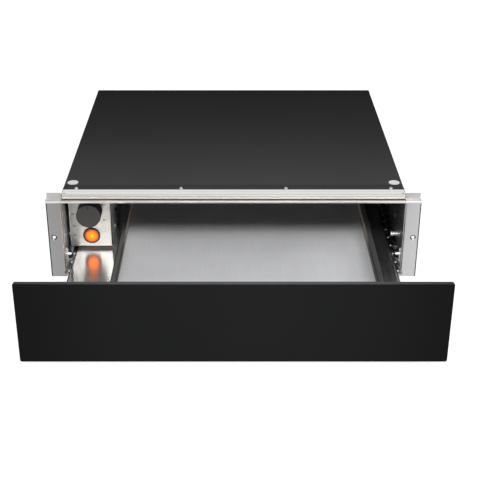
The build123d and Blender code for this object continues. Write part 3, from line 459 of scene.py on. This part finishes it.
def paint_nodes():
    """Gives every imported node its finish, and returns those that small pieces share."""
    button_low, button_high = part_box("power_button")
    lens_at = ((button_low.x + button_high.x) / 2, button_low.y, (button_low.z + button_high.z) / 2)
    # The cover, ears, bar, fascia, trim, plate, walls and knob are given painted light and shade below.
    cover = painted("black_cover", (0.046, 0.046, 0.0475), 0.5, 0.002, painted_light=cover_painted_shade)
    backing = painted("black_backing", (0.02, 0.02, 0.02), 0.45, 0.3)
    steel = brushed("stainless", (0.5, 0.5, 0.5), 0.32, "Z", vary=0.03, painted_light=ear_painted_light)
    inner_steel = brushed("stainless_inner", (0.55, 0.55, 0.54), 0.3, "X")
    bar = brushed("stainless_bar", (0.52, 0.515, 0.51), 0.36, "X", vary=0.03, depth=0.000002, uneven=0.012,
                  painted_light=bar_painted_light)
    fascia = brushed("stainless_fascia", (0.385, 0.378, 0.356), 0.3, "X", vary=0.02, painted_light=fascia_painted_light)
    trim = brushed("satin_trim", (0.60, 0.60, 0.59), 0.42, "X", vary=0.02, depth=0.000002, uneven=0.012,
                   painted_light=rail_painted_light)
    polished = polished_sheet("polished_floor", (0.96, 0.945, 0.92), 0.19)
    plate = brushed("brushed_plate", (0.635, 0.638, 0.65), 0.46, "Y", vary=0.07, depth=0.00003, fine=560.0,
                    metallic=0.25, painted_light=plate_painted_light)
    walls = brushed("stainless_wall", (0.45, 0.45, 0.44), 0.25, "Y", metallic=0.5, edge=0.4, level=0.05,
                    painted_light=wall_painted_light)
    # painted shade: the rear bay wall is a darker stainless than the others
    rear_painted_shade = brushed("stainless_rear", (0.21, 0.21, 0.21), 0.3, "X", edge=0.3)
    sheet = galvanised("galvanised_sheet", (0.42, 0.43, 0.44), 0.4)
    zinc = galvanised("zinc_slide", (0.2, 0.205, 0.21), 0.3)
    bright = plated("bright_zinc", (0.75, 0.76, 0.78), 0.22, metallic=0.6)
    pip = plated("bright_pip", (0.8, 0.81, 0.82), 0.25, metallic=0.15)
    screw = plated("cover_screw", (0.3, 0.3, 0.3), 0.34)
    box = brushed("box_sheet", (0.62, 0.62, 0.62), 0.4, "Z", metallic=0.2)
    rubber = moulded("black_rubber", (0.015, 0.015, 0.015), 0.7, 0.3)
    plastic = moulded("black_plastic", (0.022, 0.022, 0.022), 0.42)
    white = moulded("white_plastic", (0.75, 0.74, 0.7), 0.4)
    knob = moulded("knob_plastic", (0.050, 0.047, 0.045), 0.5, 0.15, painted_light=knob_painted_shade)
    sheath = plated("heater_sheath", (0.33, 0.28, 0.24), 0.4)
    lens = lit_lens("amber_lens", lens_at, (button_high.x - button_low.x) / 2)
    finishes = {
        cover: ("top_cover",),
        backing: ("front_backing",),
        dark_glass("black_glass"): ("front_glass",),
        steel: ("right_post", "left_post"),
        inner_steel: ("drawer_front_wall",),
        bar: ("top_bar",),
        fascia: ("control_fascia",),
        trim: ("top_rail",),
        polished: ("drawer_floor",),
        plate: ("warming_plate",),
        walls: ("left_bay_wall", "right_bay_wall"),
        rear_painted_shade: ("rear_bay_wall",),
        sheet: ("base_pan", "rear_panel", "right_side_panel", "left_side_panel", "corner_brackets"),
        zinc: ("slide_outer_right", "slide_outer_left", "slide_inner_right", "slide_inner_left",
               "ball_cage_right", "ball_cage_left"),
        bright: ("slide_stop_right", "slide_stop_left", "guide_pins", "latch_striker", "front_screws",
                 "knob_shaft", "thermal_cutout"),
        pip: ("control_box_screws",),
        screw: ("cover_screws",),
        box: ("control_box",),
        rubber: ("buffers",),
        plastic: ("latch_body", "latch_plunger", "thermostat", "switch_body", "fan_frame", "fan_impeller",
                  "cable_gland"),
        white: ("terminal_block",),
        knob: ("knob",),
        sheath: ("heater_element",),
        lens: ("power_button",),
    }
    for finish, names in finishes.items():
        for name in names:
            slots = frame["nodes"][name].data.materials
            slots.clear()
            slots.append(finish)
    return {"bright": bright, "pip": pip, "plastic": plastic, "rubber": rubber}


# ---------------------------------------------------------------- small pieces
def piece(name, shape, finish, body):
    """Adds a mesh or a curve as a piece that rides on a body."""
    shape.materials.append(finish)
    made = add_object(name, shape)
    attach(made, body)
    return made


def lathe(name, at, axis, profile, steps=32):
    """Mesh turned about an axis: the profile is (distance along it, radius), in millimetres."""
    centre, out = Vector(at), Vector(axis).normalized()
    one = out.orthogonal().normalized()
    two = out.cross(one)
    points, faces = [], []
    for run, radius in profile:
        for i in range(steps):
            turn = 2 * math.pi * i / steps
            around = one * math.cos(turn) + two * math.sin(turn)
            points.append((centre + out * run + around * radius) * MM)
    for ring in range(len(profile) - 1):
        low = ring * steps
        for i in range(steps):
            j = (i + 1) % steps
            faces.append((low + i, low + j, low + steps + j, low + steps + i))
    faces.append(tuple(reversed(range(steps))))
    faces.append(tuple(range(len(points) - steps, len(points))))
    mesh = bpy.data.meshes.new(name)
    mesh.from_pydata(points, [], faces)
    for face in mesh.polygons:
        face.use_smooth = len(face.vertices) == 4
    return mesh


def prism(name, outline, x0, x1):
    """Mesh of a YZ outline between two places along X, in millimetres."""
    count = len(outline)
    points = [Vector((x, y, z)) * MM for x in (x0, x1) for y, z in outline]
    faces = [tuple(range(count)), tuple(reversed(range(count, 2 * count)))]
    faces += [(i, i + count, (i + 1) % count + count, (i + 1) % count) for i in range(count)]
    mesh = bpy.data.meshes.new(name)
    mesh.from_pydata(points, [], faces)
    return mesh


def side_screws(finish):
    """Screws along the sides of the top cover."""
    dome = [(-0.2, 3.0), (0.5, 2.9), (1.1, 2.3), (1.5, 1.3), (1.6, 0.4)]
    for side, name in SIDES:
        for number, y in enumerate(SIDE_SCREW_Y):
            mesh = lathe("side_screw", (side * COVER_SIDE, y, SIDE_SCREW_Z), (side, 0, 0), dome)
            piece(f"side_screw_{name}_{number}", mesh, finish, "chassis")


def stickers():
    """Blank round stickers near the front corners of the cover."""
    paper = moulded("sticker_paper", (0.56, 0.56, 0.56), 0.5, 0.2)
    rim = [(-0.05, 8.8), (0.12, 8.8), (0.15, 8.6), (0.15, 2.0)]
    for side, name in SIDES:
        mesh = lathe("sticker", (side * STICKER_X, STICKER_Y, COVER_TOP), (0, 0, 1), rim, steps=48)
        piece(f"sticker_{name}", mesh, paper, "chassis")


def rail_caps(finish):
    """Thin dark caps that close the ends of the trim rail."""
    (front, back), (low, high) = RAIL_Y, RAIL_Z
    outline = []
    for turn in map(math.radians, range(-90, 91, 15)):
        outline.append((front + RAIL_NOSE_R - RAIL_NOSE_R * math.cos(turn),
                        (low + high) / 2 + RAIL_NOSE_R * math.sin(turn)))
    outline += [(back, high), (back, low)]
    for side, name in SIDES:
        mesh = prism("rail_cap", outline, side * RAIL_END, side * (RAIL_END + RAIL_CAP))
        piece(f"rail_cap_{name}", mesh, finish, "chassis")


def box_grommet(finish):
    """Grommet in the side of the control housing."""
    ring = [(-0.3, 2.6), (0.7, 2.6), (1.0, 2.2), (1.0, 1.4), (0.2, 1.0), (0.2, 0.3)]
    mesh = lathe("box_grommet", (FASCIA_RIGHT, GROMMET_Y, GROMMET_Z), (1, 0, 0), ring)
    piece("box_grommet", mesh, finish, "chassis")


def slide_pips(finish):
    """Domed heads over the pressed pips of the moving slide members."""
    dome = [(-0.1, 1.6), (0.5, 1.5), (0.9, 1.1), (1.2, 0.4)]
    for side, name in SIDES:
        for number in range(PIP_COUNT):
            at = (side * PIP_X, PIP_FIRST_Y + PIP_PITCH * number, PIP_Z)
            mesh = lathe("slide_pip", at, (0, 0, 1), dome, steps=16)
            piece(f"slide_pip_{name}_{number}", mesh, finish, "drawer")


def dial_numbers():
    """Plain numbers round the knob."""
    ink = moulded("dial_ink", (0.03, 0.029, 0.028), 0.6, 0.1)
    for text, x, z in DIAL_NUMBERS:
        curve = bpy.data.curves.new("dial_" + text, "FONT")
        curve.body = text
        curve.size = DIAL_SIZE * MM
        curve.align_x, curve.align_y = "CENTER", "CENTER"
        curve.extrude = DIAL_DEPTH * MM
        made = piece("dial_" + text, curve, ink, "chassis")
        made.location = Vector((x, FASCIA_Y - DIAL_GAP, z)) * MM
        made.rotation_euler = (math.radians(90), 0, 0)


def small_pieces(finishes):
    side_screws(finishes["bright"])
    stickers()
    rail_caps(finishes["plastic"])
    box_grommet(finishes["rubber"])
    slide_pips(finishes["pip"])
    dial_numbers()


# ---------------------------------------------------------------- studio
def white_where_seen(tree, plain, white):
    """Shader that is plain for light, and white for the camera, glossy and transmission rays."""
    path = node(tree, "LightPath").outputs
    seen = path["Is Camera Ray"]
    for ray in ("Is Glossy Ray", "Is Transmission Ray"):
        seen = maths(tree, "MAXIMUM", seen, path[ray])
    return node(tree, "MixShader", {0: seen, 1: plain, 2: white}).outputs[0]


def world():
    """Pale surroundings, whose light is weaker than they look."""
    made = bpy.data.worlds.new("studio")
    bpy.context.scene.world = made
    made.use_nodes = True
    tree = made.node_tree
    tree.nodes.clear()
    plain = node(tree, "Background", {"Color": rgba(1.0), "Strength": WORLD_LIGHT}).outputs[0]
    white = node(tree, "Background", {"Color": rgba(1.0), "Strength": 1.0}).outputs[0]
    out = node(tree, "OutputWorld")
    tree.links.new(white_where_seen(tree, plain, white), out.inputs["Surface"])


def floor():
    """Pale floor that keeps the object's shadow."""
    mesh = bpy.data.meshes.new("floor")
    half = FLOOR_SIZE / 2
    corners = [(-half, -half, 0), (half, -half, 0), (half, half, 0), (-half, half, 0)]
    mesh.from_pydata(corners, [], [(0, 1, 2, 3)])
    made = add_object("floor", mesh)
    made.location.z = -FLOOR_DROP
    finish = bpy.data.materials.new("pale_floor")
    finish.use_nodes = True
    tree = finish.node_tree
    tree.nodes.clear()
    plain = node(tree, "BsdfDiffuse", {"Color": rgba(FLOOR_GREY)}).outputs[0]
    shadow = node(tree, "BsdfDiffuse", {"Color": rgba(SHADOW_GREY)}).outputs[0]
    glow = node(tree, "Emission", {"Color": rgba(1.0), "Strength": FLOOR_GLOW}).outputs[0]
    white = node(tree, "AddShader", {0: shadow, 1: glow}).outputs[0]
    out = node(tree, "OutputMaterial")
    tree.links.new(white_where_seen(tree, plain, white), out.inputs["Surface"])
    mesh.materials.append(finish)


def lamp(name, azimuth, elevation, distance, size, power):
    """Soft rectangular lamp. Azimuth 0 is in front of the drawer, positive to its right."""
    a, e = math.radians(azimuth), math.radians(elevation)
    back = Vector((math.sin(a) * math.cos(e), -math.cos(a) * math.cos(e), math.sin(e)))
    data = bpy.data.lights.new(name, "AREA")
    data.shape = "RECTANGLE"
    data.size, data.size_y = size
    data.energy = power
    made = add_object(name, data)
    made.location = Vector(LAMP_AIM) + back * distance
    made.rotation_euler = back.to_track_quat("Z", "Y").to_euler()


def studio():
    world()
    floor()
    for name, settings in LAMPS.items():
        lamp(name, *settings)


def camera():
    """Camera at the photograph's place, whose shift puts the optical axis on its column."""
    data = bpy.data.cameras.new("camera")
    data.sensor_fit = "HORIZONTAL"
    data.sensor_width = SENSOR
    data.lens = SENSOR * FOCAL_PX / FRAME_PX
    data.shift_x = (FRAME_PX / 2 - CENTRE_PX) / FRAME_PX
    data.clip_start = 0.01
    made = add_object("camera", data)
    made.location = (0, CAMERA_Y, CAMERA_Z)
    made.rotation_euler = (math.radians(90 - PITCH_DOWN), 0, 0)
    bpy.context.scene.camera = made


def view_settings():
    bpy.context.scene.view_settings.view_transform = "Standard"


# ---------------------------------------------------------------- the whole scene
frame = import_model()

view_settings()
camera()
studio()
small_pieces(paint_nodes())
